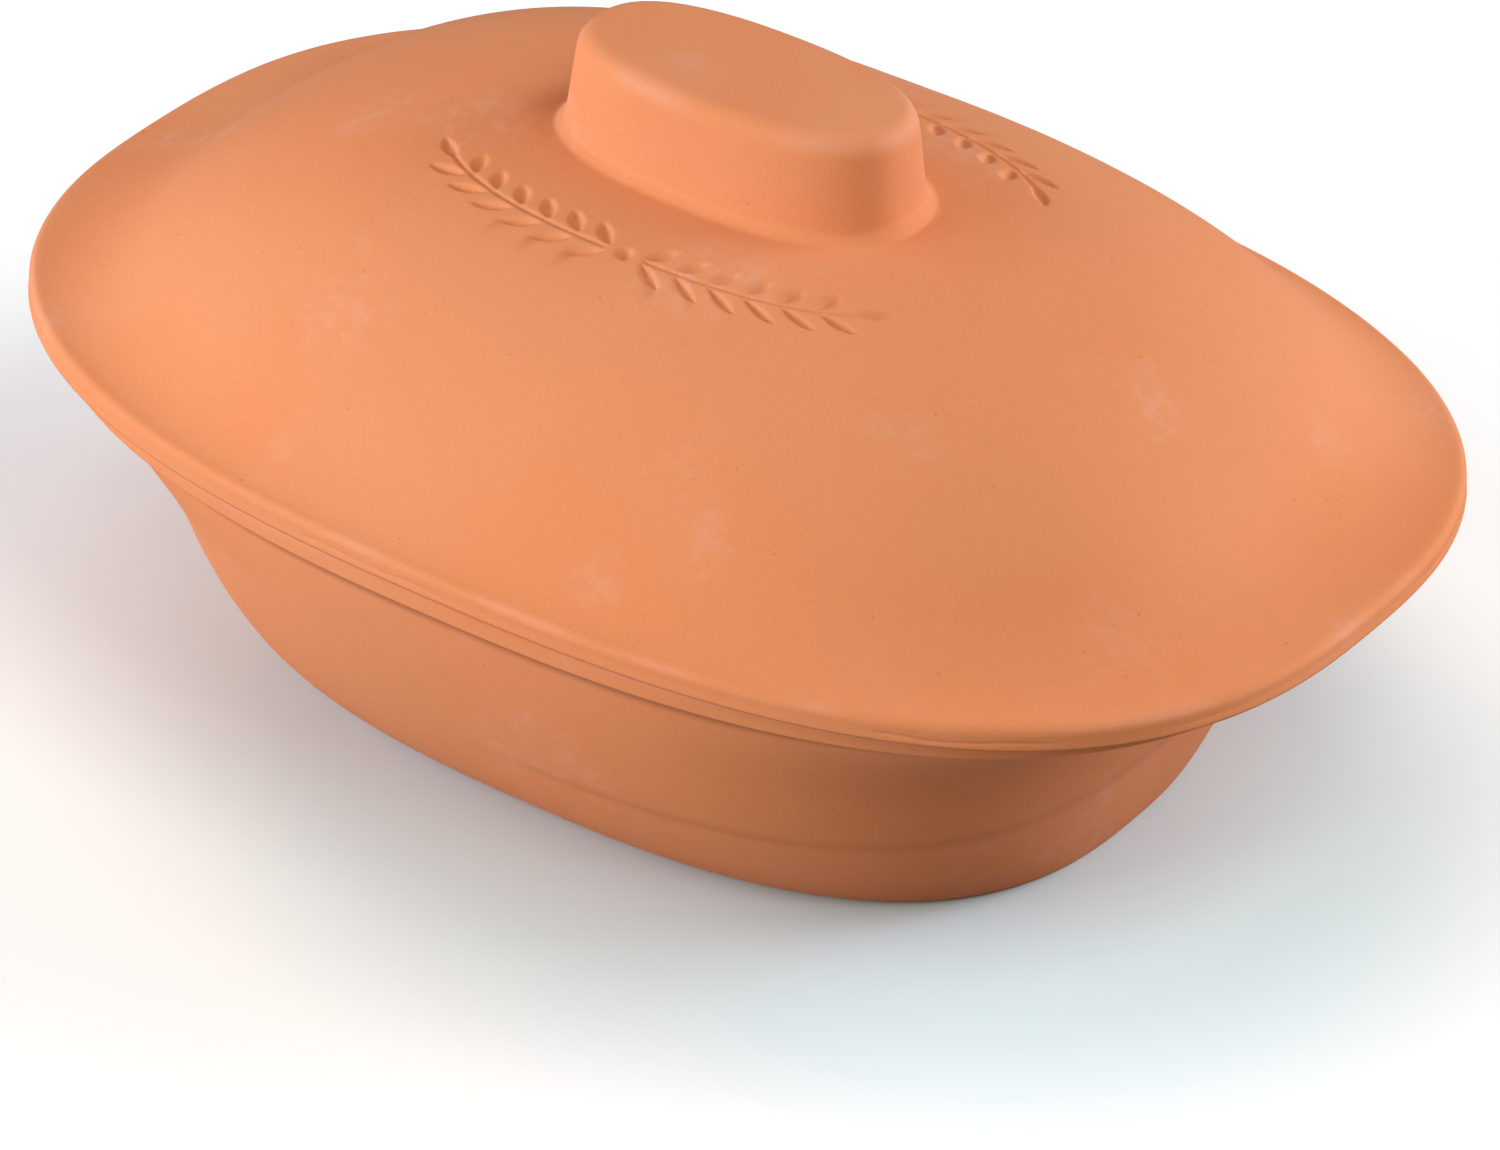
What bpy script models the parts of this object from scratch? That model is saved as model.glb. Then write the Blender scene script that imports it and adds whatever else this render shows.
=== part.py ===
# Covered clay baker: an oval dish and a domed lid that lifts off, both of unglazed fired clay.
# Metres, +Z up. The origin is at the middle of the flat foot that the dish stands on,
# with the long way of the baker along X.

import math

import bpy
import numpy as np

# Driving sizes
LENGTH = 0.345             # lid, tip to tip
WIDTH = 0.2362             # lid, across the middle
HEIGHT = 0.1594            # table to the top of the knob
SEAT_HEIGHT = 0.0767       # table to the top of the dish's rim, which the lid sits on
SEAT_GAP = 0.0003          # what is left between the rim and the lid

# Squareness of the oval outlines: 2 is an ellipse, and more is fuller at the corners
LIP_SQUARENESS = 2.59
RIM_SQUARENESS = 2.52
BODY_SQUARENESS = 2.8
FOOT_SQUARENESS = 2.6
DOME_SQUARENESS = 2.62
KNOB_SQUARENESS = 2.45

# Dish
RIM_INSET_END = 0.0062     # how far the rim stays inside the lid's lip at each end
RIM_INSET_SIDE = 0.0009    # the same on the long sides
RIM_BAND = 0.0048          # height of the band round the rim
RIM_OVERHANG = 0.0028      # how far the band stands out from the wall below it
RIM_EDGE_RADIUS = 0.0011
SEAT_WIDTH_END = 0.0213    # flat top of the rim, from its edge to the mouth, at each end
MOUTH_DEPTH = 0.0055       # upright stretch of the mouth that the lid's collar drops into
MOUTH_EDGE_RADIUS = 0.001
GRIP_REACH = 0.0347        # how far each end grip stands out from the body
GRIP_HEIGHT = 0.028        # height over which the wall flares out to the grip
GRIP_CURVE = 2             # 1 makes the flare straight, and more makes it turn out later
FOOT_INSET_END = 0.0156    # how far the wall draws in on its way down to the foot, at each end
FOOT_INSET_SIDE = 0.037    # the same on the long sides
WALL_BULGE = 1.37          # 1 makes the body's wall straight, and more makes it rounder
DISH_WALL = 0.009
DISH_FLOOR = 0.010

# Lid
LIP_HEIGHT = 0.0066
LIP_EDGE_RADIUS = 0.0014
LIP_TOP_RADIUS = 0.0026
LIP_TOP_ANGLE = 73         # degrees up the lip's top edge, where the brim starts
BRIM_RISE = 0.0013         # slope of the brim at the lip: this much up
BRIM_RUN_END = 0.012       # over this much inward, at each end
BRIM_RUN_SIDE = 0.0032     # the same on the long sides
COLLAR_CLEARANCE = 0.0025  # play between the lid's collar and the dish's mouth
COLLAR_DEPTH = 0.004
COLLAR_WIDTH = 0.006
COLLAR_EDGE_RADIUS = 0.001
LID_WALL = 0.008
DOME_INSET_END = 0.019     # from the lip's edge to the foot of the dome's curve
DOME_INSET_SIDE = 0.0066
DOME_CURVE_END = 3.45      # 2 makes the dome's curve a parabola, and more makes its top flatter
DOME_CURVE_SIDE = 2.93
DOME_START = 0.27          # share of the dome's height where the brim's sweep meets it
HOLLOW_FULLNESS = 1.25     # more than 1 makes the inside's curve fuller, for a wall of even thickness

# Knob
KNOB_LENGTH = 0.0874       # over its top, rounded edge included
KNOB_WIDTH = 0.0424
KNOB_RISE = 0.0234         # from the top of the dome's curve to the top of the knob
KNOB_EDGE_RADIUS = 0.0055
KNOB_DRAFT_END = 0.0019    # how far the knob's wall slants out on its way down, at each end
KNOB_DRAFT_SIDE = 0.0020   # the same on the long sides
KNOB_FILLET = 0.0030       # height and reach of the sweep from the knob down to the dome
KNOB_WALL = 0.009
HOLLOW_EDGE_RADIUS = 0.003

# Fineness
SIDES = 64                 # points round each outline, a multiple of four
WALL_STEPS = 14
WALL_CROWDING = 1.4        # more than 1 puts the levels closer together near the foot
DOME_STEPS = 9
SWEEP_STEPS = 6
CORNER_STEPS = 2
SWEEP_PULL = 0.6           # how far a sweep holds on to the direction that it starts in
TANGENT_STEP = 0.02        # share of the dome's height over which its slope is read
SHARP_ANGLE = 40           # degrees: edges that turn more than this are shaded as edges

CLAY_COLOUR = (0.72, 0.30, 0.16, 1.0)
CLAY_ROUGHNESS = 0.9


def oval(half_length, half_width, squareness, height):
    """One level oval outline, as the four numbers that describe it."""
    return np.array([half_length, half_width, squareness, height])


def moved(outline, inward=0.0, up=0.0):
    """The outline drawn in on all sides and raised."""
    return outline + np.array([-inward, -inward, 0.0, up])


def sweep(start, leave, arrive, end):
    """Outlines along a cubic curve from start to end, both included."""
    outlines = []
    for step in range(SWEEP_STEPS + 1):
        t = step / SWEEP_STEPS
        outlines.append((1 - t) ** 3 * start + 3 * t * (1 - t) ** 2 * leave
                        + 3 * t * t * (1 - t) * arrive + t ** 3 * end)
    return outlines


def corner(centre, radius, start_angle, end_angle):
    """Outlines along an arc round centre: 0 degrees points outward and 90 degrees up."""
    outlines = []
    for step in range(CORNER_STEPS + 1):
        angle = math.radians(start_angle + (end_angle - start_angle) * step / CORNER_STEPS)
        outlines.append(moved(centre, -radius * math.cos(angle), radius * math.sin(angle)))
    return outlines


def outline_points(outline):
    """Points round an oval: those of an ellipse, pushed out to the fuller outline."""
    half_length, half_width, squareness, height = outline
    points = []
    for side in range(SIDES):
        angle = 2 * math.pi * side / SIDES
        reach = abs(math.cos(angle)) ** squareness + abs(math.sin(angle)) ** squareness
        push = reach ** (-1 / squareness)
        points.append((half_length * math.cos(angle) * push,
                       half_width * math.sin(angle) * push, height))
    return points


def loft(name, outlines, collection, material):
    """One closed solid through the outlines, which run over its outer side, round its
    edge and back over its inner side. Both ends close on a point in the middle."""
    vertices = [(0.0, 0.0, outlines[0][3])]
    for outline in outlines:
        vertices.extend(outline_points(outline))
    vertices.append((0.0, 0.0, outlines[-1][3]))
    last = len(vertices) - 1
    faces = []
    for side in range(SIDES):
        after = (side + 1) % SIDES
        faces.append((0, 1 + after, 1 + side))
        for level in range(len(outlines) - 1):
            near = 1 + level * SIDES
            far = near + SIDES
            faces.append((near + side, near + after, far + after, far + side))
        near = last - SIDES
        faces.append((last, near + side, near + after))
    inside_is_lower = outlines[-1][3] < outlines[0][3]
    if inside_is_lower:
        faces = [face[::-1] for face in faces]
    mesh = bpy.data.meshes.new(name)
    mesh.from_pydata(vertices, [], faces)
    mesh.validate()
    mesh.shade_smooth()
    mesh.set_sharp_from_angle(angle=math.radians(SHARP_ANGLE))
    mesh.materials.append(material)
    thing = bpy.data.objects.new(name, mesh)
    collection.objects.link(thing)
    return thing


def clay(name):
    material = bpy.data.materials.new(name)
    material.use_nodes = True
    shader = material.node_tree.nodes["Principled BSDF"]
    shader.inputs["Base Color"].default_value = CLAY_COLOUR
    shader.inputs["Roughness"].default_value = CLAY_ROUGHNESS
    shader.inputs["Metallic"].default_value = 0.0
    return material


def rim_outline():
    """The rim's outer edge, at the height of the seat."""
    return oval(LENGTH / 2 - RIM_INSET_END, WIDTH / 2 - RIM_INSET_SIDE, RIM_SQUARENESS, SEAT_HEIGHT)


def neck_outline():
    """The wall's outer side, just under the band."""
    return moved(rim_outline(), RIM_OVERHANG, -RIM_BAND)


def mouth_outline():
    """The dish's mouth, at the height of the seat."""
    return oval(rim_outline()[0] - SEAT_WIDTH_END, neck_outline()[1] - DISH_WALL,
                RIM_SQUARENESS, SEAT_HEIGHT)


def wall(foot, body, top):
    """Outlines up a wall that swells from its foot to its body, and at each end flares
    out from the body to its top over the height of a grip."""
    outlines = []
    for step in range(WALL_STEPS + 1):
        share = (step / WALL_STEPS) ** WALL_CROWDING
        swell = (1 - (1 - share) ** WALL_BULGE) ** (1 / WALL_BULGE)
        height = foot[3] + (top[3] - foot[3]) * share
        flare = max(0.0, 1 - (top[3] - height) / GRIP_HEIGHT) ** GRIP_CURVE
        outline = foot + (body - foot) * swell + (top - body) * flare
        outline[3] = height
        outlines.append(outline)
    return outlines


def make_dish(collection, material):
    rim = rim_outline()
    neck = neck_outline()
    body = oval(neck[0] - GRIP_REACH, neck[1], BODY_SQUARENESS, neck[3])
    foot = oval(body[0] - FOOT_INSET_END, body[1] - FOOT_INSET_SIDE, FOOT_SQUARENESS, 0.0)
    outlines = wall(foot, body, neck)
    outlines += corner(moved(rim, RIM_EDGE_RADIUS, RIM_EDGE_RADIUS - RIM_BAND), RIM_EDGE_RADIUS, -90, 0)
    outlines += corner(moved(rim, RIM_EDGE_RADIUS, -RIM_EDGE_RADIUS), RIM_EDGE_RADIUS, 0, 90)

    mouth = mouth_outline()
    outlines += corner(moved(mouth, -MOUTH_EDGE_RADIUS, -MOUTH_EDGE_RADIUS), MOUTH_EDGE_RADIUS, 90, 180)
    floor = moved(foot, DISH_WALL, DISH_FLOOR)
    inside = wall(floor, moved(body, DISH_WALL), moved(mouth, 0.0, -MOUTH_DEPTH))
    outlines += inside[::-1]
    return loft("dish", outlines, collection, material)


def dome_outline(share, base, crown_height, fullness):
    """The dome's curve, from its base at share 0 up to its crown at share 1."""
    spread_end = (1 - share) ** (1 / (fullness * DOME_CURVE_END))
    spread_side = (1 - share) ** (1 / (fullness * DOME_CURVE_SIDE))
    return oval(base[0] * spread_end, base[1] * spread_side, DOME_SQUARENESS,
                base[3] + (crown_height - base[3]) * share)


def wall_foot(knob, height=0.0):
    """The foot of the knob's slanting wall, at the given height."""
    return oval(knob[0] + KNOB_DRAFT_END, knob[1] + KNOB_DRAFT_SIDE, knob[2], height)


def slant(upper, lower):
    """How the outline changes for each metre down from an upper one to a lower one."""
    return (lower - upper) / (upper[3] - lower[3])


def share_beside(knob, base, fullness):
    """How far up the dome its outline still clears the knob's by the knob's fillet."""
    drop_end = ((knob[0] + KNOB_FILLET) / base[0]) ** (fullness * DOME_CURVE_END)
    drop_side = ((knob[1] + KNOB_FILLET) / base[1]) ** (fullness * DOME_CURVE_SIDE)
    return 1 - max(drop_end, drop_side)


def dome(base, crown_height, first, knob, fullness=1.0):
    """The dome's outlines from the share first up to the knob, closer together near the knob."""
    last = share_beside(knob, base, fullness)
    outlines = []
    for step in range(DOME_STEPS + 1):
        rise = math.sin(math.radians(90) * step / DOME_STEPS)
        outlines.append(dome_outline(first + (last - first) * rise, base, crown_height, fullness))
    return outlines


def knob_join(top, before, knob):
    """The sweep from the dome's two topmost outlines up to the knob's slanting wall, of
    which knob is the upper end."""
    reach = SWEEP_PULL * KNOB_FILLET
    leave = top + (top - before) * reach / (before[1] - top[1])
    end = wall_foot(knob, top[3] + KNOB_FILLET)
    return sweep(top, leave, end + slant(knob, end) * reach, end)


def knob_edge(knob, foot):
    """The sweep from the edge of the knob's level top round to its slanting wall."""
    pull = SWEEP_PULL * KNOB_EDGE_RADIUS
    level = moved(knob, KNOB_EDGE_RADIUS)
    wall_top = moved(knob, 0.0, -KNOB_EDGE_RADIUS)
    return sweep(level, moved(level, -pull), wall_top - slant(wall_top, foot) * pull, wall_top)


def brim(foot, above, lip_edge):
    """The sweep from the dome's two lowest outlines out to the top edge of the lip."""
    drop = SWEEP_PULL * (foot[3] - lip_edge[3])
    leave = foot + (foot - above) * drop / (above[3] - foot[3])
    arrive = lip_edge + np.array([-BRIM_RUN_END, -BRIM_RUN_SIDE, 0.0, BRIM_RISE])
    return sweep(foot, leave, arrive, lip_edge)


def lid_outside(knob, crown, base, lip):
    """The lid's outlines from the top of the knob down and out to the edge of the lip."""
    dome_up = dome(base, crown, DOME_START, wall_foot(knob))
    join = knob_join(dome_up[-1], dome_up[-2], moved(knob, 0.0, -KNOB_EDGE_RADIUS))
    knob_top = knob_edge(knob, join[-1])
    lip_top = corner(moved(lip, LIP_TOP_RADIUS, LIP_HEIGHT - LIP_TOP_RADIUS), LIP_TOP_RADIUS,
                     LIP_TOP_ANGLE, 0)
    above = dome_outline(DOME_START + TANGENT_STEP, base, crown, 1.0)
    brim_down = brim(dome_up[0], above, lip_top[0])
    return knob_top + join[::-1] + dome_up[-2::-1] + brim_down[1:-1] + lip_top


def lid_underside(knob, crown, collar, inner_base, lip):
    """The lid's outlines from the edge of the lip in over the seat, round the collar that
    hangs in the dish's mouth, and up the hollow of the dome into the knob."""
    lip_bottom = corner(moved(lip, LIP_EDGE_RADIUS, LIP_EDGE_RADIUS), LIP_EDGE_RADIUS, 0, -90)
    edge = COLLAR_EDGE_RADIUS
    collar_outer = corner(moved(collar, edge, edge - COLLAR_DEPTH), edge, 0, -90)
    collar_inner = corner(moved(inner_base, -edge, edge - COLLAR_DEPTH), edge, -90, -180)
    hollow = moved(knob, KNOB_WALL, -KNOB_WALL)
    dome_up = dome(inner_base, crown - LID_WALL, 0.0, wall_foot(hollow), HOLLOW_FULLNESS)
    join = knob_join(dome_up[-1], dome_up[-2], moved(hollow, 0.0, -HOLLOW_EDGE_RADIUS))
    hollow_top = corner(moved(hollow, HOLLOW_EDGE_RADIUS, -HOLLOW_EDGE_RADIUS),
                        HOLLOW_EDGE_RADIUS, 0, 90)
    return lip_bottom + [collar] + collar_outer + collar_inner + dome_up + join[1:] + hollow_top


def make_lid(collection, material):
    knob = oval(KNOB_LENGTH / 2, KNOB_WIDTH / 2, KNOB_SQUARENESS, HEIGHT)
    crown = HEIGHT - KNOB_RISE
    lip = oval(LENGTH / 2, WIDTH / 2, LIP_SQUARENESS, SEAT_HEIGHT + SEAT_GAP)
    collar = moved(mouth_outline(), COLLAR_CLEARANCE, SEAT_GAP)
    inner_base = moved(collar, COLLAR_WIDTH)
    outer_base = lip - np.array([DOME_INSET_END, DOME_INSET_SIDE, 0.0, -LIP_HEIGHT])
    outlines = lid_outside(knob, crown, outer_base, lip)
    outlines += lid_underside(knob, crown, collar, inner_base, lip)
    return loft("lid", outlines, collection, material)


def main():
    for thing in list(bpy.data.objects):
        bpy.data.objects.remove(thing, do_unlink=True)
    collection = bpy.data.collections.new("clay_baker")
    bpy.context.scene.collection.children.link(collection)
    make_dish(collection, clay("dish_clay"))
    make_lid(collection, clay("lid_clay"))


main()
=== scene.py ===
import bpy
import numpy as np
from mathutils import Matrix


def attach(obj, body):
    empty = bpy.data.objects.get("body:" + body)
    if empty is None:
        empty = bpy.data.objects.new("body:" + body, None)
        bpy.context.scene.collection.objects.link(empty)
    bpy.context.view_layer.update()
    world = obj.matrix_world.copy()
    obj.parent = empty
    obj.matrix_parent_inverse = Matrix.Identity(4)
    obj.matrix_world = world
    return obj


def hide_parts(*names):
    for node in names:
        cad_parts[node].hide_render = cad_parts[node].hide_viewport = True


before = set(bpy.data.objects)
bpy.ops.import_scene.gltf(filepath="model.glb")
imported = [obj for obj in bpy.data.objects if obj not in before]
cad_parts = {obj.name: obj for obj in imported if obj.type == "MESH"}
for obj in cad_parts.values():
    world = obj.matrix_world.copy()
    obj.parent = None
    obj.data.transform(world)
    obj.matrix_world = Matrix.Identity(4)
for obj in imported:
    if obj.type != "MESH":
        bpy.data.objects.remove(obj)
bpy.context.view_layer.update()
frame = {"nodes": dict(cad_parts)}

print("frame loaded:", ", ".join(frame["nodes"]))


# Shapes. An outline is one level oval, as four numbers: half length, half width, squareness
# and height. Squareness 2 is an ellipse, and more is fuller at the corners.
def oval(halfLength, halfWidth, squareness, height):
    return np.array([halfLength, halfWidth, squareness, height])


def moved(outline, inward=0.0, up=0.0):  # drawn in on all sides, and raised
    return outline + np.array([-inward, -inward, 0.0, up])


def towardsMiddle(outline, share):  # the same outline, this much of its size
    return outline * np.array([share, share, 1.0, 1.0])


# Outlines in even steps from one to another: (1-t) start + t end.
def between(start, end, steps):
    t = np.linspace(0, 1, steps + 1)[:, None]
    return (1 - t) * start + t * end


# Outlines along a cubic curve: (1-t)^3 start + 3t(1-t)^2 leave + 3t^2(1-t) arrive + t^3 end.
def sweep(start, leave, arrive, end, steps):
    t = np.linspace(0, 1, steps + 1)[:, None]
    return ((1 - t) ** 3 * start + 3 * t * (1 - t) ** 2 * leave
            + 3 * t * t * (1 - t) * arrive + t ** 3 * end)


# Outlines round an edge: drawn out by radius * cos(angle) and raised by radius * sin(angle).
def roundEdge(centre, radius, startAngle, endAngle, steps):
    angle = np.radians(np.linspace(startAngle, endAngle, steps + 1))[:, None]
    outward = radius * np.cos(angle)
    return centre + np.hstack([outward, outward, 0 * angle, radius * np.sin(angle)])


# One outline after another, without the rows that repeat the one before.
def stacked(*groups):
    rows = np.vstack([np.atleast_2d(group) for group in groups])
    step = np.abs(np.diff(rows, axis=0)).sum(axis=1)
    return rows[np.concatenate([[True], step > 1e-9])]


# Points of each outline: the ellipse's point times (|cos|^n + |sin|^n)^(-1/n), n the squareness.
def pointsOn(outlines, angles):
    halfLength, halfWidth, squareness, height = (column[:, None] for column in outlines.T)
    cosine, sine = np.cos(angles), np.sin(angles)
    push = (np.abs(cosine) ** squareness + np.abs(sine) ** squareness) ** (-1 / squareness)
    return np.stack([halfLength * cosine * push, halfWidth * sine * push, height + 0 * push], -1)


# Side angles at even distances along an outline: its length is summed finely and read back.
def evenAngles(outline, sides, fineness=16):
    fine = np.linspace(0, 2 * np.pi, fineness * sides + 1)
    steps = np.linalg.norm(np.diff(pointsOn(outline[None], fine)[0], axis=0), axis=1)
    length = np.concatenate([[0], np.cumsum(steps)])
    return np.interp(np.arange(sides) / sides * length[-1], length, fine)


# Directions out of the clay: the step down the rows crossed with the step round them.
def outwardOf(points):
    down = np.gradient(points, axis=0)
    around = np.roll(points, -1, axis=1) - np.roll(points, 1, axis=1)
    normal = np.cross(down, around)
    return normal / np.maximum(np.linalg.norm(normal, axis=-1, keepdims=True), 1e-12)


# Soft unevenness, about -1 to 1: sine waves of about one wavelength, in random directions.
def unevenness(points, wavelength, seed, waves=16, shortest=0.6, longest=1.7):
    chance = np.random.default_rng(seed)
    total = np.zeros(points.shape[:-1])
    for _ in range(waves):
        direction = chance.normal(size=3)
        length = wavelength * chance.uniform(shortest, longest)
        direction *= 2 * np.pi / (length * np.linalg.norm(direction))
        total += np.sin(points @ direction + chance.uniform(0, 2 * np.pi))
    return np.clip(total / np.sqrt(waves), -1, 1)


def smooth(value, low, high):  # 0 below low, 1 above high, and 3t^2 - 2t^3 between them
    t = np.clip((value - low) / (high - low), 0, 1)
    return t * t * (3 - 2 * t)


def peak(value, middle, width):  # 1 at the middle, and exp(-t^2) at t widths from it
    return np.exp(-((value - middle) / width) ** 2)


def patches(points, seed, wavelength, low, high):  # 0 to 1, from soft unevenness
    return smooth(unevenness(points, wavelength, seed), low, high)


# How far a hand-finished surface lies inward, 0 to -1: long waves with fainter short ones.
def wander(points, seed, wavelength, shortWavelength=0.03, shortShare=0.3):
    waves = unevenness(points, wavelength, seed)
    waves += shortShare * unevenness(points, shortWavelength, seed + 1)
    return waves / (2 * (1 + shortShare)) - 0.5


# Faces between two neighbouring rings of points where one has more points than the other:
# each point of the sparse ring fans out to its share of the dense ring.
def joinRings(upper, lower):
    upperIsDense = len(upper) > len(lower)
    dense, sparse = (upper, lower) if upperIsDense else (lower, upper)
    share = len(dense) // len(sparse)
    following = np.roll(sparse, -1)
    after = np.roll(dense, -1)
    triangles = []
    for k in range(share):
        corner = sparse if k < share // 2 else following
        here, there = dense[k::share], after[k::share]
        triangles.append((here, corner, there) if upperIsDense else (corner, here, there))
        if k == share // 2:
            closing = (here, sparse, following) if upperIsDense else (sparse, here, following)
            triangles.append(closing)
    return np.concatenate([np.stack(triangle, -1) for triangle in triangles])


# A closed piece of clay through grids of points (rows by sides). The rows run from a point in
# the middle over the piece and back to the middle, and go round anticlockwise seen from above.
# Wear and painted shade are 0 to 1 at each point; the painted shade darkens the colour where shade
# falls.
def clayPiece(name, grids, wear, painted_shade, material):
    first = grids[0][0].mean(axis=0)
    last = grids[-1][-1].mean(axis=0)
    rows = [grid.reshape(-1, 3) for grid in grids]
    vertices = np.concatenate([first[None], *rows, last[None]])
    quads, triangles, start, ringAbove = [], [], 1, None
    for grid in grids:
        rings = start + np.arange(grid.shape[0] * grid.shape[1]).reshape(grid.shape[:2])
        after = np.roll(rings, -1, axis=1)
        quads.append(np.stack([rings[:-1], rings[1:], after[1:], after[:-1]], -1).reshape(-1, 4))
        if ringAbove is not None:
            triangles.append(joinRings(ringAbove, rings[0]))
        ringAbove = rings[-1]
        start += rings.size
    ring = np.arange(1, 1 + grids[0].shape[1])
    triangles.append(np.stack([0 * ring, ring, np.roll(ring, -1)], -1))
    triangles.append(np.stack([ringAbove, 0 * ringAbove + start, np.roll(ringAbove, -1)], -1))
    quads, triangles = np.concatenate(quads), np.concatenate(triangles)

    mesh = bpy.data.meshes.new(name)
    mesh.vertices.add(len(vertices))
    mesh.vertices.foreach_set("co", vertices.astype(np.float32).ravel())
    corners = np.concatenate([quads.ravel(), triangles.ravel()]).astype(np.int32)
    mesh.loops.add(len(corners))
    mesh.loops.foreach_set("vertex_index", corners)
    counts = np.concatenate([np.full(len(quads), 4), np.full(len(triangles), 3)])
    mesh.polygons.add(len(counts))
    mesh.polygons.foreach_set("loop_start", (np.cumsum(counts) - counts).astype(np.int32))
    mesh.update(calc_edges=True)
    mesh.validate()
    mesh.shade_smooth()
    for mark, amounts in (("wear", wear), ("painted_shade", painted_shade)):
        marked = mesh.attributes.new(mark, "FLOAT", "POINT")
        marked.data.foreach_set("value", np.concatenate([[0], amounts, [0]]).astype(np.float32))
    mesh.materials.append(material)
    piece = bpy.data.objects.new(name, mesh)
    bpy.context.scene.collection.objects.link(piece)
    print(name, "made:", 2 * len(quads) + len(triangles), "triangles")
    return piece


# Fired clay. The colour drifts between two tones, carries a pale bloom in patches and fine
# grains. It is rubbed paler where the piece's wear is high, and darkened where the piece
# carries painted shade, which stands in for shade in corners and joints.
# The surface has a fine tooth and faint level wiping lines. Scales are per metre and heights
# in metres. A range holds the noise values between which an effect sets in.
clayLook = {
    "tone": (0.80, 0.293, 0.123), "otherTone": (0.80, 0.269, 0.103),
    "toneScale": 11.0, "toneRange": (0.35, 0.65),
    "bloomColour": (0.84, 0.42, 0.31), "bloomStrength": 0.28,
    "bloomScale": 24.0, "bloomRange": (0.54, 0.70),
    "mottleScale": 260.0, "mottleRange": (0.42, 0.62), "mottleLowest": 0.2,
    # the dark colour after the worn one is painted shade, mixed in where shade falls
    "wornColour": (0.85, 0.39, 0.26), "paintedShadeColour": (0.30, 0.085, 0.03),
    "grainScale": 1500.0, "grainRange": (0.3, 0.7), "grainContrast": 0.045,
    "speckColour": (0.42, 0.15, 0.08), "speckStrength": 0.5,
    "speckScale": 420.0, "speckEdge": (0.08, 0.2),  # the specks' fading edge
    "speckPatches": 140.0, "speckRange": (0.62, 0.72),
    "toothHeight": 0.00005,
    "wipeScale": 40.0, "wipeHeight": 0.00004,
    "softDetail": 3.0, "fineDetail": 2.0, "plainDetail": 1.0,
    "roughness": 0.92, "specular": 0.5,
}


# wipeLines says how many times closer the wiping lines lie upward than along.
def clayMaterial(name, look, wipeLines):
    material = bpy.data.materials.new(name)
    material.use_nodes = True
    tree = material.node_tree
    nodes, links = tree.nodes, tree.links
    shader = nodes["Principled BSDF"]
    shader.inputs["Roughness"].default_value = look["roughness"]
    shader.inputs["Specular IOR Level"].default_value = look["specular"]
    place = nodes.new("ShaderNodeTexCoord").outputs["Object"]

    def noise(scale, detail, stretch=(1, 1, 1)):
        mapping = nodes.new("ShaderNodeMapping")
        mapping.inputs["Scale"].default_value = stretch
        links.new(place, mapping.inputs["Vector"])
        texture = nodes.new("ShaderNodeTexNoise")
        texture.inputs["Scale"].default_value = scale
        texture.inputs["Detail"].default_value = detail
        links.new(mapping.outputs["Vector"], texture.inputs["Vector"])
        return texture.outputs["Fac"]

    def ranged(value, low, high, toLow, toHigh):
        step = nodes.new("ShaderNodeMapRange")
        step.interpolation_type = "SMOOTHSTEP"
        for socket, number in zip(step.inputs[1:5], (low, high, toLow, toHigh)):
            socket.default_value = number
        links.new(value, step.inputs["Value"])
        return step.outputs["Result"]

    def mixed(amount, under, over, kind="MIX"):
        mix = nodes.new("ShaderNodeMix")
        mix.data_type = "RGBA"
        mix.blend_type = kind
        sockets = mix.inputs[0], mix.inputs[6], mix.inputs[7]
        for socket, what in zip(sockets, (amount, under, over)):
            if isinstance(what, tuple):
                socket.default_value = what + (1.0,)
            elif isinstance(what, float):
                socket.default_value = what
            else:
                links.new(what, socket)
        return mix.outputs[2]

    def product(first, second):
        times = nodes.new("ShaderNodeMath")
        times.operation = "MULTIPLY"
        links.new(first, times.inputs[0])
        links.new(second, times.inputs[1])
        return times.outputs["Value"]

    def bumped(height, distance, under=None):
        bump = nodes.new("ShaderNodeBump")
        bump.inputs["Distance"].default_value = distance
        links.new(height, bump.inputs["Height"])
        if under is not None:
            links.new(under, bump.inputs["Normal"])
        return bump.outputs["Normal"]

    soft = look["softDetail"]
    drift = ranged(noise(look["toneScale"], soft), *look["toneRange"], 0.0, 1.0)
    colour = mixed(drift, look["tone"], look["otherTone"])
    bloom, mottle = noise(look["bloomScale"], soft), noise(look["mottleScale"], soft)
    bloom = ranged(bloom, *look["bloomRange"], 0.0, look["bloomStrength"])
    mottle = ranged(mottle, *look["mottleRange"], look["mottleLowest"], 1.0)
    colour = mixed(product(bloom, mottle), colour, look["bloomColour"])

    grain = noise(look["grainScale"], look["fineDetail"])
    brightness = nodes.new("ShaderNodeCombineColor")
    shade = ranged(grain, *look["grainRange"], 1.0 - look["grainContrast"], 1.0)
    for socket in brightness.inputs:
        links.new(shade, socket)
    colour = mixed(1.0, colour, brightness.outputs["Color"], "MULTIPLY")

    specks = nodes.new("ShaderNodeTexVoronoi")
    specks.inputs["Scale"].default_value = look["speckScale"]
    links.new(place, specks.inputs["Vector"])
    where = noise(look["speckPatches"], look["plainDetail"])
    sparse = ranged(where, *look["speckRange"], 0.0, look["speckStrength"])
    near = ranged(specks.outputs["Distance"], *look["speckEdge"], 1.0, 0.0)
    colour = mixed(product(near, sparse), colour, look["speckColour"])

    # wear rubs the colour paler; the second mark mixes in painted shade, darkening where shade
    # falls
    for mark, markColour in (("wear", look["wornColour"]), ("painted_shade", look["paintedShadeColour"])):
        marked = nodes.new("ShaderNodeAttribute")
        marked.attribute_name = mark
        colour = mixed(marked.outputs["Fac"], colour, markColour)
    links.new(colour, shader.inputs["Base Color"])

    lines = noise(look["wipeScale"], soft, (1.0, 1.0, wipeLines))
    wiped = bumped(lines, look["wipeHeight"])
    toothed = bumped(grain, look["toothHeight"], wiped)
    links.new(toothed, shader.inputs["Normal"])
    print(name, "ready")
    return material


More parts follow.
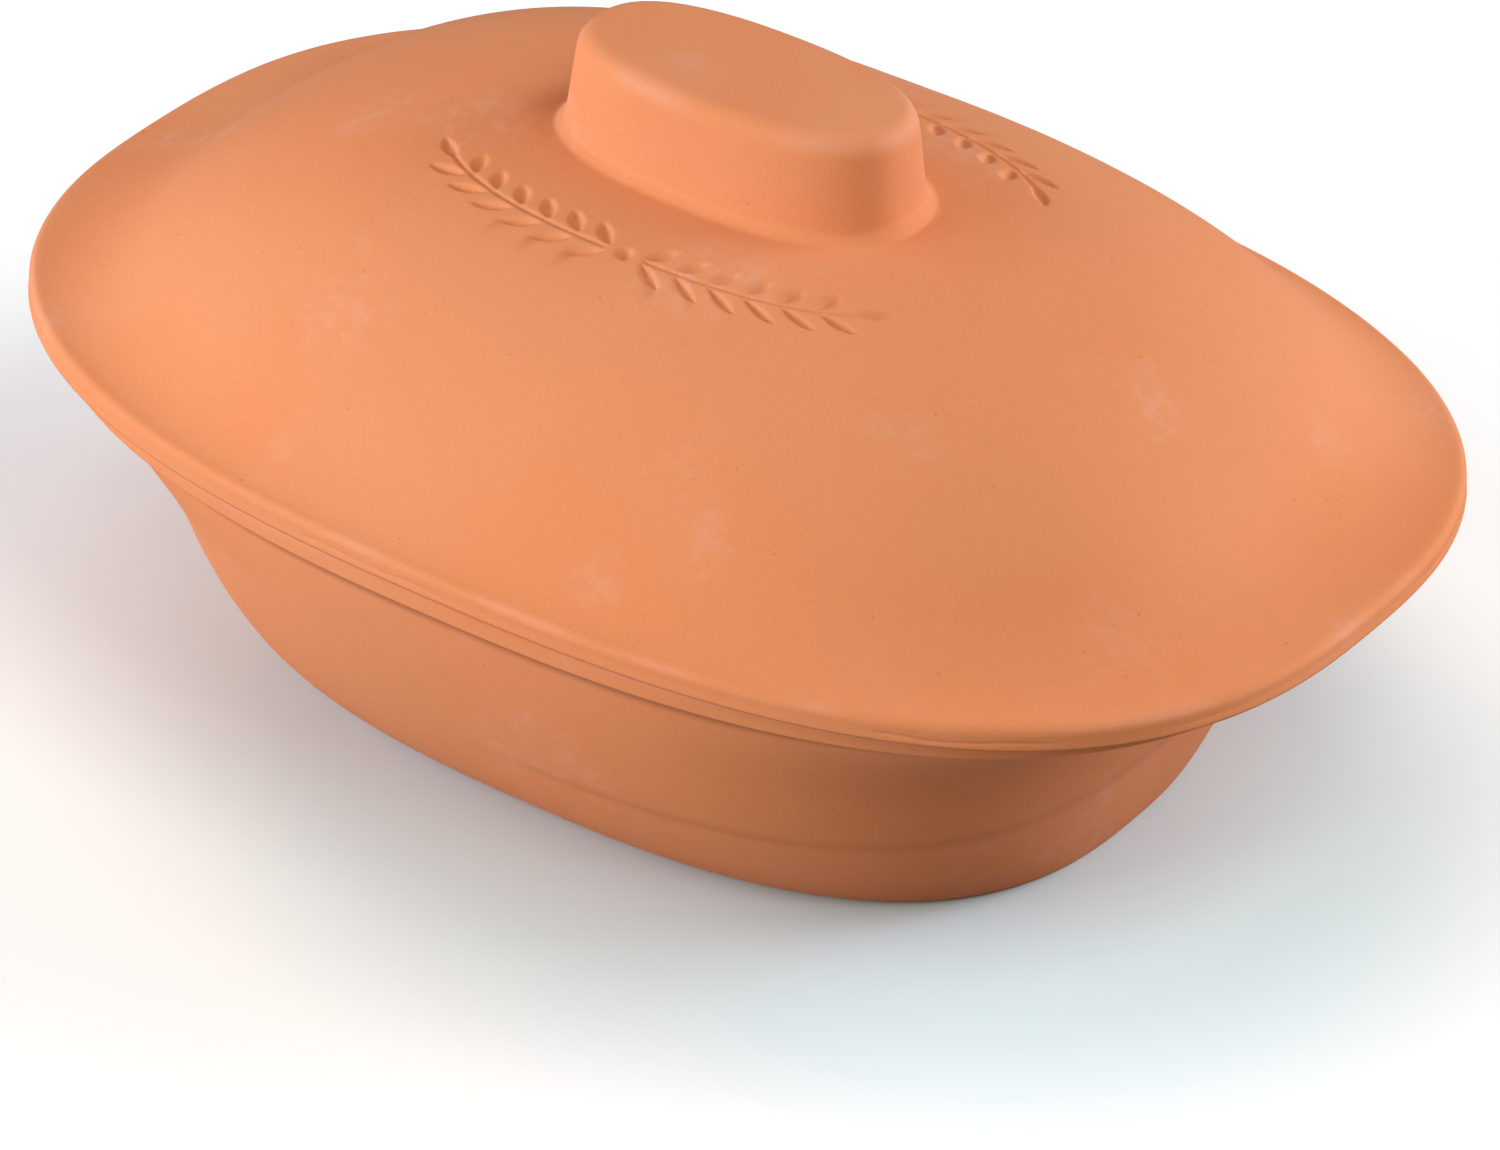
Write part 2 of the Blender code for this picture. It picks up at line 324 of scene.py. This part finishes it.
# Dish: a wall that swells from its foot to its body and flares out under the rim at each end,
# a band round the rim, and the flat seat that the lid lies on.
dish = {
    "rimLength": 0.1663, "rimWidth": 0.1172, "rimSquareness": 2.52,  # halves, to the rim's edge
    "seat": 0.0767, "seatWidthEnd": 0.0213,  # how high it lies, and its width at the ends
    "band": 0.0048, "bandOverhang": 0.0028, "edgeRadius": 0.0007,
    "mouthDepth": 0.0055,
    "bodySquareness": 2.8, "footSquareness": 2.6,
    "gripReach": 0.0347, "gripHeight": 0.028,  # how far the rim stands out over the body's ends
    "footInsetEnd": 0.0156, "footInsetSide": 0.037,  # how far the foot lies inside the body
    "wallBulge": 1.37, "wall": 0.009, "floor": 0.010,
    "unevenness": 0.00025, "unevenWavelength": 0.09,  # how far the wall wanders, always inward
    "evenFoot": (0.001, 0.006), "evenNeck": (0.0700, 0.0715),  # heights where that dies out
    "creaseHeight": 0.0270, "creaseDepth": 0.00030,  # faint line left low on the wall
    "creaseWidth": 0.0016, "creasePatches": (0.15, -0.5, 0.3),  # wavelength, low and high
    "bandWear": 0.25, "bandWearWidth": 0.0008, "footWear": 0.2, "footWearWidth": 0.0012,
    "wearPatches": (0.04, -0.8, 0.8),
    # painted shade: the corner under the band is darkened in colour for the band's shadow, and the
    # crease for the shade in it
    "painted_shade": 0.65, "creasePaintedShade": 0.2,  # how dark the corner under the band and the crease are
    "paintedShadeFade": (0.0021, 0.0046),  # depths below the band
    "wipeLines": 22.0,
    "sides": 800, "insideSides": 400, "wallRows": 74, "insideRows": 36, "edgeRows": 5,
    "pole": 0.04,             # size of the smallest ring round a middle point
}

dishRim = oval(dish["rimLength"], dish["rimWidth"], dish["rimSquareness"], dish["seat"])
dishNeck = moved(dishRim, dish["bandOverhang"], -dish["band"])
dishMouth = oval(dishRim[0] - dish["seatWidthEnd"], dishNeck[1] - dish["wall"],
                 dish["rimSquareness"], dish["seat"])
dishBody = oval(dishNeck[0] - dish["gripReach"], dishNeck[1], dish["bodySquareness"], dishNeck[3])
dishFoot = oval(dishBody[0] - dish["footInsetEnd"], dishBody[1] - dish["footInsetSide"],
                dish["footSquareness"], 0.0)


# Outlines up a wall: foot + (body - foot) * swell + (top - body) * flare, where
# swell = (1 - (1-s)^bulge)^(1/bulge), s runs from 0 at the foot to 1 at the top in steps that
# are finest at both, and flare = (1 - depth below the top / grip height)^2 within the grip's
# height.
def wallOutlines(foot, body, top, steps):
    share = (1 - np.cos(np.linspace(0, np.pi, steps + 1)[:, None])) / 2
    bulge = dish["wallBulge"]
    swell = (1 - (1 - share) ** bulge) ** (1 / bulge)
    height = foot[3] + (top[3] - foot[3]) * share
    flare = np.maximum(0, 1 - (top[3] - height) / dish["gripHeight"]) ** 2
    outlines = foot + (body - foot) * swell + (top - body) * flare
    outlines[:, 3:] = height
    return outlines


def makeDish(material):
    wall, radius, edgeRows = dish["wall"], dish["edgeRadius"], dish["edgeRows"]
    floor = moved(dishFoot, wall, dish["floor"])
    lowMouth = moved(dishMouth, 0.0, -dish["mouthDepth"])
    inside = stacked(
        between(towardsMiddle(floor, dish["pole"]), floor, 8),
        wallOutlines(floor, moved(dishBody, wall), lowMouth, dish["insideRows"]),
        roundEdge(moved(dishMouth, -radius, -radius), radius, 180, 90, 4))
    outside = stacked(
        roundEdge(moved(dishRim, radius, -radius), radius, 90, 0, edgeRows),
        between(moved(dishRim, 0, -radius), moved(dishRim, 0, radius - dish["band"]), 4),
        roundEdge(moved(dishRim, radius, radius - dish["band"]), radius, 0, -90, edgeRows),
        between(moved(dishRim, radius, -dish["band"]), dishNeck, 2),
        wallOutlines(dishFoot, dishBody, dishNeck, dish["wallRows"])[::-1],
        between(dishFoot, towardsMiddle(dishFoot, dish["pole"]), 6))
    angles = evenAngles(dishRim, dish["sides"])
    insidePoints = pointsOn(inside, angles[::dish["sides"] // dish["insideSides"]])
    points = pointsOn(outside, angles)

    # the wall wanders, and keeps a faint crease above the foot
    height = points[..., 2]
    onWall = smooth(height, *dish["evenFoot"]) * (1 - smooth(height, *dish["evenNeck"]))
    uneven = dish["unevenness"] * wander(points, 11, dish["unevenWavelength"])
    crease = peak(height, dish["creaseHeight"], dish["creaseWidth"])
    crease *= patches(points, 13, *dish["creasePatches"])
    depth = onWall * (uneven - dish["creaseDepth"] * crease)
    points = points + depth[..., None] * outwardOf(points)

    # the band's upper edge and the foot's turn are rubbed
    bandWidth, footWidth = dish["bandWearWidth"], dish["footWearWidth"]
    rubbed = dish["bandWear"] * peak(height, dishRim[3] - bandWidth, bandWidth)
    rubbed += dish["footWear"] * peak(height, footWidth, footWidth)
    rubbed *= patches(points, 14, *dish["wearPatches"])

    # the corner under the band and the crease are darkened in colour: painted shade standing in for
    # the band's shadow and the shade in the crease
    below = dishNeck[3] - height
    underBand = below > -1e-6
    darkened = dish["painted_shade"] * (1 - smooth(below, *dish["paintedShadeFade"])) * underBand
    darkened += dish["creasePaintedShade"] * crease
    unmarked = np.zeros(insidePoints[..., 0].size)
    wear = np.concatenate([unmarked, rubbed.ravel()])
    painted_shade = np.concatenate([unmarked, darkened.ravel()])
    return clayPiece("clay_dish", [insidePoints, points], wear, painted_shade, material)


dishPiece = makeDish(clayMaterial("dish_fired_clay", clayLook, dish["wipeLines"]))
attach(dishPiece, "dish")
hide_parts("dish")


# Lid: a round-edged lip, a brim that sweeps up into the dome, and the knob. Under it a low
# collar hangs in the dish's mouth.
lid = {
    "lipLength": 0.1725, "lipWidth": 0.1181, "lipSquareness": 2.59,  # halves, to the lip's edge
    "seatGap": 0.0003,        # between the lid and the dish's seat
    "lipHeight": 0.0066, "lipRadius": 0.0008, "lipTopRadius": 0.0026, "lipTopAngle": 73,
    "brimRunEnd": 0.012, "brimRunSide": 0.0032, "brimRise": 0.0013,  # the brim's slope at the lip
    "collarClearance": 0.0025, "collarDepth": 0.004, "collarWidth": 0.006, "collarRadius": 0.001,
    "wall": 0.008, "hollowFullness": 1.25,
    "crown": 0.136, "domeInsetEnd": 0.019, "domeInsetSide": 0.0066, "domeSquareness": 2.62,
    "domeCurveEnd": 3.45, "domeCurveSide": 2.93,  # see domeOutlines
    "domeStart": 0.27,        # share of the dome's height where its curve meets the brim
    "slopeStep": 0.02,        # the share that its slope there is taken over
    "knobTop": 0.1594, "knobLength": 0.0437, "knobWidth": 0.0212, "knobSquareness": 2.45,
    "knobRadius": 0.0055, "knobDraftEnd": 0.0019, "knobDraftSide": 0.0020,
    "knobFillet": 0.0030, "knobWall": 0.009, "hollowRadius": 0.003, "sweepPull": 0.6,
    "ringReach": 0.0022,      # from the knob's wall to where its foot meets the dome
    "creaseDepth": 0.0007, "creaseFade": 0.006,  # the hollow there, and how fast it dies out
    "creaseStart": (-0.0012, 0.0007),  # distances from there, on the surface
    "unevenness": 0.00030, "unevenWavelength": 0.10,
    "evenLip": (0.0005, 0.003),  # heights over the lip's lower edge where that dies out
    "lipStart": 0.05,         # the lip lies further than this from the stem of the spray
    "seamDepth": 0.00030,     # the mould's seam along the lip's edge, where it wasn't wiped away
    "seamHeight": 0.0022, "seamWidth": 0.0003, "seamPatches": (0.05, 0.1, 0.6),
    "seamRaggedness": 0.0003, "seamWavelength": 0.012,
    "knobWear": 0.4, "knobWearWidth": 0.0020,
    "lipWear": 0.3, "lipWearHeight": 0.0056, "lipWearWidth": 0.0009,
    "wearPatches": (0.03, -0.3, 0.9),
    # painted shade: the lid's lowest edge is darkened in colour for the shade in the joint over the
    # dish
    "painted_shade": 0.50, "paintedShadeFade": (0.0003, 0.0010),  # the joint under the lip, and heights over it
    "wipeLines": 14.0,
    "sides": 576, "insideSides": 288,
    "domeRows": (20, 33, 18), "knobRows": 12, "brimRows": 24,
    "pole": 0.03, "hollowPole": 0.1,  # sizes of the smallest rings round the middle points
}

# Pressed sprays of leaves on the dome, one on each long side. Sizes in metres.
spray = {
    "share": 0.926,           # how far up the dome's curve the stem runs
    "lowest": 0.893, "highest": 0.957,  # shares that hold the whole spray
    "halfLength": 0.066,      # from the middle of a spray to its tip
    "firstLeaf": 0.0085, "pitch": 0.0088,
    "leafLength": 0.0046, "leafWidth": 0.0017,  # halves
    "leafOffset": 0.0037, "leafSlant": 38,
    "stemWidth": 0.0006,      # half
    "stemStart": 0.0051,      # from the middle of a spray
    "berryRadius": 0.0021,
    "depth": 0.0011, "cutSlope": 0.0013,  # the cut reaches its depth over this width
    "edgeCut": 0.1,           # share of the depth at the very edge of a cut
}


# How deep the spray is cut, 0 to 1, from the distance along its stem and across it. A leaf is
# the lens |v| < width * (1 - u^2); each cut slopes from its edge in to its full depth.
def sprayCut(along, across):
    ahead, aside = np.abs(along), np.abs(across)
    count = int((spray["halfLength"] - spray["firstLeaf"]) / spray["pitch"])
    nearest = np.clip(np.round((ahead - spray["firstLeaf"]) / spray["pitch"]), 0, count - 1)
    forward = ahead - spray["firstLeaf"] - nearest * spray["pitch"]
    turn = np.radians(spray["leafSlant"])
    sideways = aside - spray["leafOffset"]
    u = (forward * np.cos(turn) + sideways * np.sin(turn)) / spray["leafLength"]
    v = np.abs(sideways * np.cos(turn) - forward * np.sin(turn))
    leaf = spray["leafWidth"] * (1 - u * u) - v
    tipMiddle = spray["halfLength"] - spray["leafLength"]
    tip = spray["leafWidth"] * (1 - ((ahead - tipMiddle) / spray["leafLength"]) ** 2) - aside
    stemEnd = np.minimum(ahead - spray["stemStart"], tipMiddle - ahead)
    stem = np.minimum(spray["stemWidth"] - aside, stemEnd)
    berry = spray["berryRadius"] - np.hypot(ahead, aside)
    inside = np.maximum.reduce([leaf, tip, stem, berry])
    return np.clip(inside / spray["cutSlope"] + spray["edgeCut"], 0, 1)


# The dome's curve, from its base at share 0 up to its crown at share 1: the outline is the
# base's times (1 - share)^(1/curve), with a curve for the ends and one for the sides.
def domeOutlines(share, base, crownHeight, fullness=1.0):
    share = np.atleast_1d(share)[:, None]
    return np.hstack([base[0] * (1 - share) ** (1 / (fullness * lid["domeCurveEnd"])),
                      base[1] * (1 - share) ** (1 / (fullness * lid["domeCurveSide"])),
                      0 * share + lid["domeSquareness"], base[3] + (crownHeight - base[3]) * share])


def wallFoot(knob, height=0.0):  # the foot of the knob's slanting wall
    return oval(knob[0] + lid["knobDraftEnd"], knob[1] + lid["knobDraftSide"], knob[2], height)


def slant(upper, lower):  # how an outline changes for each metre down to a lower one
    return (lower - upper) / (upper[3] - lower[3])


# How far up the dome its outline still clears the knob's by the knob's fillet.
def shareBeside(knob, base, fullness=1.0):
    endDrop = ((knob[0] + lid["knobFillet"]) / base[0]) ** (fullness * lid["domeCurveEnd"])
    sideDrop = ((knob[1] + lid["knobFillet"]) / base[1]) ** (fullness * lid["domeCurveSide"])
    return 1 - max(endDrop, sideDrop)


# The sweep from the dome's top row, whose slope it carries on, up to the knob's slanting wall.
def knobSweep(top, before, wallTop, steps):
    reach = lid["sweepPull"] * lid["knobFillet"]
    leave = top + (top - before) * reach / (before[1] - top[1])
    end = wallFoot(wallTop, top[3] + lid["knobFillet"])
    return sweep(top, leave, end + slant(wallTop, end) * reach, end, steps)


# The sweep from the edge of the knob's level top round to its slanting wall.
def knobEdge(knob, wallTop, foot, steps):
    pull = lid["sweepPull"] * lid["knobRadius"]
    level = moved(knob, lid["knobRadius"])
    return sweep(level, moved(level, -pull), wallTop - slant(wallTop, foot) * pull, wallTop, steps)


# The lid's upper side, from the middle of the knob's top to the lip's lower edge, with the
# outline of the knob and that where its foot meets the dome.
def lidTopOutlines(base, lip):
    crown = lid["crown"]
    knob = oval(lid["knobLength"], lid["knobWidth"], lid["knobSquareness"], lid["knobTop"])
    wallTop = moved(knob, 0, -lid["knobRadius"])
    beside = shareBeside(wallFoot(knob), base)
    lowRows, sprayRows, highRows = lid["domeRows"]
    shares = np.concatenate([np.linspace(lid["domeStart"], spray["lowest"], lowRows)[:-1],
                             np.linspace(spray["lowest"], spray["highest"], sprayRows)[:-1],
                             np.linspace(spray["highest"], beside, highRows)])
    dome = domeOutlines(shares, base, crown)
    foot = wallFoot(knob)
    reached = 1 - ((foot[1] + lid["ringReach"]) / base[1]) ** lid["domeCurveSide"]
    ring = moved(foot, -lid["ringReach"], base[3] + (crown - base[3]) * reached)
    join = knobSweep(ring, dome[-1], wallTop, lid["knobRows"])
    edge = knobEdge(knob, wallTop, join[-1], lid["knobRows"])

    topRadius, radius = lid["lipTopRadius"], lid["lipRadius"]
    lipTopCentre = moved(lip, topRadius, lid["lipHeight"] - topRadius)
    lipTop = roundEdge(lipTopCentre, topRadius, lid["lipTopAngle"], 0, 6)
    lipFace = between(lipTop[-1], moved(lip, 0, radius), 9)
    drop = lid["sweepPull"] * (dome[0][3] - lipTop[0][3])
    above = domeOutlines(lid["domeStart"] + lid["slopeStep"], base, crown)[0]
    leave = dome[0] + slant(above, dome[0]) * drop
    arrive = lipTop[0] + [-lid["brimRunEnd"], -lid["brimRunSide"], 0, lid["brimRise"]]
    return stacked(
        between(towardsMiddle(knob, lid["pole"]), edge[0], 6),
        edge,
        between(wallTop, join[-1], 5),
        join[::-1],
        between(ring, dome[-1], 4),
        dome[::-1],
        sweep(dome[0], leave, arrive, lipTop[0], lid["brimRows"]),
        lipTop, lipFace,
        roundEdge(moved(lip, radius, radius), radius, 0, -90, 4)), knob, ring


# The lid's lower side, from the collar to the middle of the hollow under the knob.
def lidUndersideOutlines(collar, base, knob):
    radius, depth = lid["collarRadius"], lid["collarDepth"]
    hollow = moved(knob, lid["knobWall"], -lid["knobWall"])
    beside = shareBeside(wallFoot(hollow), base, lid["hollowFullness"])
    shares = beside * np.sin(np.radians(np.linspace(0, 90, 15)))
    dome = domeOutlines(shares, base, lid["crown"] - lid["wall"], lid["hollowFullness"])
    join = knobSweep(dome[-1], dome[-2], moved(hollow, 0, -lid["hollowRadius"]), 6)
    hollowTop = moved(hollow, lid["hollowRadius"], -lid["hollowRadius"])
    return stacked(
        between(moved(collar, -radius), collar, 1),
        roundEdge(moved(collar, radius, radius - depth), radius, 0, -90, 3),
        roundEdge(moved(base, -radius, radius - depth), radius, -90, -180, 3),
        dome, join,
        roundEdge(hollowTop, lid["hollowRadius"], 0, 90, 4),
        between(moved(hollow, lid["hollowRadius"]), towardsMiddle(hollow, lid["hollowPole"]), 2))


def makeLid(material):
    lip = oval(lid["lipLength"], lid["lipWidth"], lid["lipSquareness"],
               dish["seat"] + lid["seatGap"])
    collar = moved(dishMouth, lid["collarClearance"], lid["seatGap"])
    innerBase = moved(collar, lid["collarWidth"])
    outerBase = lip + [-lid["domeInsetEnd"], -lid["domeInsetSide"], 0, lid["lipHeight"]]
    top, knob, knobRing = lidTopOutlines(outerBase, lip)
    stem = domeOutlines(spray["share"], outerBase, lid["crown"])[0]
    angles = evenAngles(stem, lid["sides"])
    points = pointsOn(top, angles)
    height = points[..., 2]

    # distances on the surface: down from the stem, out from the knob's foot, and round the stem
    # from the middle of the long side
    stemRow, knobRow = (np.argmin(np.abs(top[:, 3] - row[3])) for row in (stem, knobRing))
    rowSteps = np.linalg.norm(np.diff(points, axis=0), axis=-1)
    down = np.vstack([np.zeros(len(angles)), np.cumsum(rowSteps, axis=0)])
    across = down - down[stemRow]
    fromKnob = down - down[knobRow]
    sideSteps = np.linalg.norm(np.roll(points[stemRow], -1, axis=0) - points[stemRow], axis=-1)
    travelled = np.concatenate([[0], np.cumsum(sideSteps)])
    halfWay = travelled[-1] / 2
    along = (travelled[:-1] % halfWay) - halfWay / 2
    cut = sprayCut(along[None, :], across)

    # the surface wanders inward, a ragged seam shows here and there on the lip's edge, and a
    # low hollow runs round the knob's foot
    aboveLip = height - lip[3]
    onLip = across > lid["lipStart"]
    uneven = lid["unevenness"] * wander(points, 21, lid["unevenWavelength"])
    uneven *= smooth(aboveLip, *lid["evenLip"])
    ragged = lid["seamRaggedness"] * unevenness(points, lid["seamWavelength"], 23)
    seam = onLip * peak(aboveLip, lid["seamHeight"] + ragged, lid["seamWidth"])
    seam *= patches(points, 24, *lid["seamPatches"])
    crease = smooth(fromKnob, *lid["creaseStart"])
    crease *= np.exp(-np.maximum(fromKnob - lid["creaseStart"][1], 0) / lid["creaseFade"])
    depth = uneven - lid["creaseDepth"] * crease
    depth -= spray["depth"] * cut + lid["seamDepth"] * seam
    points = points + depth[..., None] * outwardOf(points)

    # the knob's top edge and the lip's crest are rubbed paler, and the lip's foot at the joint is
    # darkened as painted shade
    knobCrest = peak(height, knob[3] - lid["knobWearWidth"], lid["knobWearWidth"])
    lipCrest = onLip * peak(aboveLip, lid["lipWearHeight"], lid["lipWearWidth"])
    rubbed = lid["knobWear"] * knobCrest + lid["lipWear"] * lipCrest
    rubbed *= patches(points, 25, *lid["wearPatches"])
    darkened = lid["painted_shade"] * (1 - smooth(aboveLip, *lid["paintedShadeFade"]))

    insideAngles = angles[::lid["sides"] // lid["insideSides"]]
    underside = pointsOn(lidUndersideOutlines(collar, innerBase, knob), insideAngles)
    unmarked = np.zeros(underside[..., 0].size)
    wear = np.concatenate([rubbed.ravel(), unmarked])
    painted_shade = np.concatenate([darkened.ravel(), unmarked])
    return clayPiece("clay_lid", [points, underside], wear, painted_shade, material)


lidPiece = makeLid(clayMaterial("lid_fired_clay", clayLook, lid["wipeLines"]))
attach(lidPiece, "lid")
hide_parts("lid")


# Stage: a wide pale floor. Close to the object it gets no glow and a bluish tint: a painted
# soft shadow round the object, and a painted cancelling of the clay's reflected colour. Further
# off it fades to the white of the backdrop.
stage = {
    "floorSize": 30.0,
    "nearColour": (0.74, 0.90, 0.96), "farColour": (0.88, 0.90, 0.91),  # as the camera sees them
    "fadeStart": 0.125, "fadeEnd": 0.215,  # distance from the fade's middle, along the baker
    "fadeMiddle": (0.030, -0.012), "fadeOval": 1.25,  # the fade is this much shorter across
    "floorBounce": (0.35, 0.35, 0.35),  # as it lights the object
    "floorGlow": 0.25,        # added to the far floor, for the camera alone
    "worldStrength": 0.20, "worldColour": (1.0, 0.92, 0.76),
}


def makeStage():
    half = stage["floorSize"] / 2
    mesh = bpy.data.meshes.new("floor")
    mesh.from_pydata([(-half, -half, 0), (half, -half, 0), (half, half, 0), (-half, half, 0)], [],
                     [(0, 1, 2, 3)])
    floor = bpy.data.objects.new("floor", mesh)
    bpy.context.scene.collection.objects.link(floor)
    material = bpy.data.materials.new("floor_pale")
    material.use_nodes = True
    nodes, links = material.node_tree.nodes, material.node_tree.links
    shader = nodes["Principled BSDF"]
    shader.inputs["Roughness"].default_value = 1.0
    shader.inputs["Specular IOR Level"].default_value = 0.0
    shader.inputs["Emission Color"].default_value = (1.0, 1.0, 1.0, 1.0)
    stretch = nodes.new("ShaderNodeMapping")
    middleX, middleY = stage["fadeMiddle"]
    stretch.inputs["Scale"].default_value = (1.0, stage["fadeOval"], 1.0)
    stretch.inputs["Location"].default_value = (-middleX, -stage["fadeOval"] * middleY, 0.0)
    links.new(nodes.new("ShaderNodeTexCoord").outputs["Object"], stretch.inputs["Vector"])
    distance = nodes.new("ShaderNodeVectorMath")
    distance.operation = "LENGTH"
    links.new(stretch.outputs["Vector"], distance.inputs[0])
    # the fade: near the object no glow and the bluish tint, a painted shadow pool; far off white
    fade = nodes.new("ShaderNodeMapRange")
    fade.interpolation_type = "SMOOTHSTEP"
    fade.inputs["From Min"].default_value = stage["fadeStart"]
    fade.inputs["From Max"].default_value = stage["fadeEnd"]
    links.new(distance.outputs["Value"], fade.inputs["Value"])
    ray = nodes.new("ShaderNodeLightPath")
    seen, choice = nodes.new("ShaderNodeMix"), nodes.new("ShaderNodeMix")
    for mix, under, amount in ((seen, "nearColour", fade.outputs["Result"]),
                               (choice, "floorBounce", ray.outputs["Is Camera Ray"])):
        mix.data_type = "RGBA"
        mix.inputs[6].default_value = stage[under] + (1.0,)
        links.new(amount, mix.inputs[0])
    seen.inputs[7].default_value = stage["farColour"] + (1.0,)
    links.new(seen.outputs[2], choice.inputs[7])
    links.new(choice.outputs[2], shader.inputs["Base Color"])
    white, glow = nodes.new("ShaderNodeMath"), nodes.new("ShaderNodeMath")
    white.operation = glow.operation = "MULTIPLY"
    white.inputs[1].default_value = stage["floorGlow"]
    links.new(fade.outputs["Result"], white.inputs[0])
    links.new(white.outputs["Value"], glow.inputs[0])
    links.new(ray.outputs["Is Camera Ray"], glow.inputs[1])
    links.new(glow.outputs["Value"], shader.inputs["Emission Strength"])
    mesh.materials.append(material)


def makeWorld():
    world = bpy.data.worlds.new("studio")
    bpy.context.scene.world = world
    world.use_nodes = True
    nodes, links = world.node_tree.nodes, world.node_tree.links
    ray = nodes.new("ShaderNodeLightPath")
    strength = nodes.new("ShaderNodeMapRange")  # full white behind everything, less as light
    strength.inputs["To Min"].default_value = stage["worldStrength"]
    strength.inputs["To Max"].default_value = 1.0
    links.new(ray.outputs["Is Camera Ray"], strength.inputs["Value"])
    colour = nodes.new("ShaderNodeMix")
    colour.data_type = "RGBA"
    colour.inputs[6].default_value = stage["worldColour"] + (1.0,)
    colour.inputs[7].default_value = (1.0, 1.0, 1.0, 1.0)
    links.new(ray.outputs["Is Camera Ray"], colour.inputs[0])
    background = nodes["Background"]
    links.new(colour.outputs[2], background.inputs["Color"])
    links.new(strength.outputs["Result"], background.inputs["Strength"])


# Lamps: where each stands (azimuth from the front, 90 is the right-hand end, and elevation),
# and its power in watts and colour. All stand equally far off and are equally wide.
lampDistance, lampSize = 1.8, 1.0
lamps = {
    "left": {"azimuth": -58, "elevation": 21, "power": 13, "colour": (0.94, 1.0, 1.20)},
    "low front left": {"azimuth": -33, "elevation": 9, "power": 26, "colour": (1.0, 1.0, 1.0)},
    "back right": {"azimuth": 137, "elevation": 23, "power": 22, "colour": (0.96, 1.0, 1.14)},
    "high right": {"azimuth": 75, "elevation": 55, "power": 11, "colour": (1.05, 1.0, 0.85)},
}


# A direction from the object: azimuth 0 is the front (-Y) and 90 the right-hand end (+X).
def directionTo(azimuth, elevation):
    azimuth, elevation = np.radians([azimuth, elevation])
    return np.array([np.sin(azimuth) * np.cos(elevation), -np.cos(azimuth) * np.cos(elevation),
                     np.sin(elevation)])


# The level direction to the right of a direction back from the object, and the one upward.
def rightAndUp(back):
    right = np.cross([0.0, 0.0, 1.0], back)
    right /= np.linalg.norm(right)
    return right, np.cross(back, right)


# Stands a lamp or camera at a place, looking back along a direction, with its top turned by roll.
def standAt(thing, place, back, roll=0.0):
    right, up = rightAndUp(back)
    turn = np.radians(roll)
    turnedRight = np.cos(turn) * right + np.sin(turn) * up
    turnedUp = np.cos(turn) * up - np.sin(turn) * right
    matrix = Matrix.Identity(4)
    for column, axis in enumerate([turnedRight, turnedUp, back, place]):
        for row in range(3):
            matrix[row][column] = axis[row]
    thing.matrix_world = matrix


def makeLamps():
    for name, lamp in lamps.items():
        light = bpy.data.lights.new(name, "AREA")
        light.size = lampSize
        light.energy = lamp["power"]
        light.color = lamp["colour"]
        thing = bpy.data.objects.new(name, light)
        bpy.context.scene.collection.objects.link(thing)
        back = directionTo(lamp["azimuth"], lamp["elevation"])
        standAt(thing, lampDistance * back, back)


# Camera: solved from the photograph. The aim is how far the picture's middle lies to the right
# of the middle of the dish's foot and above it, square to the view.
camera = {"azimuth": 34.39, "elevation": 33.50, "roll": 2.02, "distance": 1.9367,
          "aimRight": 0.00453, "aimUp": 0.01838, "lens": 197.0}


def makeCamera():
    view = bpy.data.cameras.new("view")
    view.lens = camera["lens"]
    view.sensor_fit = "HORIZONTAL"
    thing = bpy.data.objects.new("view", view)
    bpy.context.scene.collection.objects.link(thing)
    back = directionTo(camera["azimuth"], camera["elevation"])
    right, up = rightAndUp(back)
    place = camera["distance"] * back + camera["aimRight"] * right + camera["aimUp"] * up
    standAt(thing, place, back, camera["roll"])
    bpy.context.scene.camera = thing


makeStage()
makeWorld()
makeLamps()
makeCamera()
bpy.context.scene.view_settings.view_transform = "Standard"
print("stage, lamps and camera ready")
